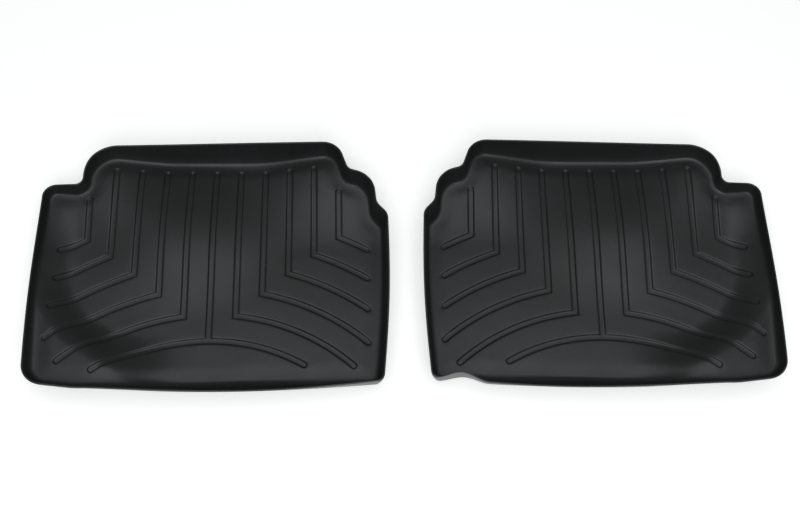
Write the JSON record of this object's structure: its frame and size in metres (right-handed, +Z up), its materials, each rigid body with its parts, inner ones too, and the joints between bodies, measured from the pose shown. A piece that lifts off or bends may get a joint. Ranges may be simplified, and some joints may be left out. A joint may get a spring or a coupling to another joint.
{
  "type": "floor mat set",
  "caption": "Pair of black formed floor trays for a car's rear footwells, with raised walls, a door pillar notch and drain channels",
  "frame": {"origin": "middle of the set's box, on the ground that the mats rest on", "axes": "+X to the car's right, across both mats; +Y to the car's front, where the tall wall is; +Z up out of the trays"},
  "size_m": [1.1555, 0.4182, 0.055],
  "materials": {
    "left_sheet": "satin black with a fine leather-like grain",
    "right_sheet": "satin black with a fine leather-like grain"
  },
  "bodies": {
    "left_mat": {"left_floor_mat": "left_sheet"},
    "right_mat": {"right_floor_mat": "right_sheet"}
  },
  "joints": [
    {"name": "right_mat_lift", "type": "slide", "parent": "left_mat", "child": "right_mat", "axis": [0, 0, 1], "range_m": [0, 0.3]}
  ]
}
